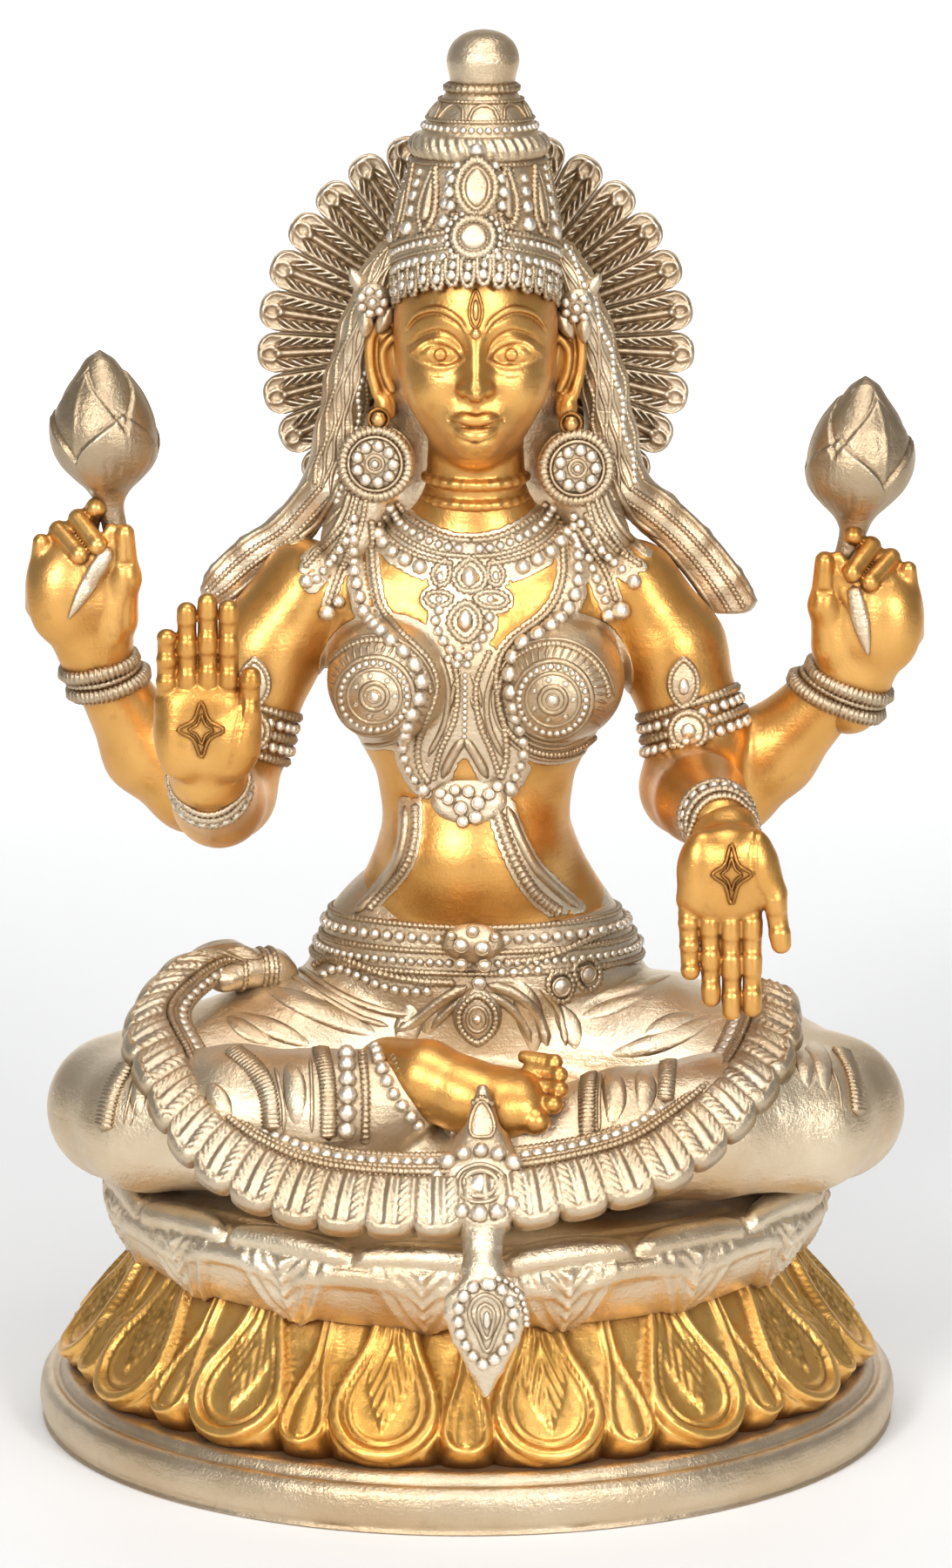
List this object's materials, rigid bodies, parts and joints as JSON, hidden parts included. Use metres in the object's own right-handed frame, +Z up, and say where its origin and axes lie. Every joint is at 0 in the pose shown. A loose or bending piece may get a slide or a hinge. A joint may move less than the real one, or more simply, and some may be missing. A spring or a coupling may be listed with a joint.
{
  "type": "seated deity statue",
  "caption": "Seated four-armed goddess with lotus buds and a feathered halo, on a round lotus pedestal, cast in brass.",
  "frame": {"origin": "centre of the pedestal's underside", "axes": "+Z up to the crown, +Y to the figure's back, +X to the figure's left hand"},
  "size_m": [0.2008, 0.1961, 0.3154],
  "materials": {
    "pedestal_brass": "cast brass, pale silver and gold tints, worn",
    "figure_brass": "cast brass, gold skin and pale silver dress",
    "halo_brass": "cast brass, pale silver tint"
  },
  "bodies": {
    "root": {"lotus_pedestal": "pedestal_brass", "lakshmi_figure": "figure_brass", "halo": "halo_brass"}
  },
  "joints": []
}
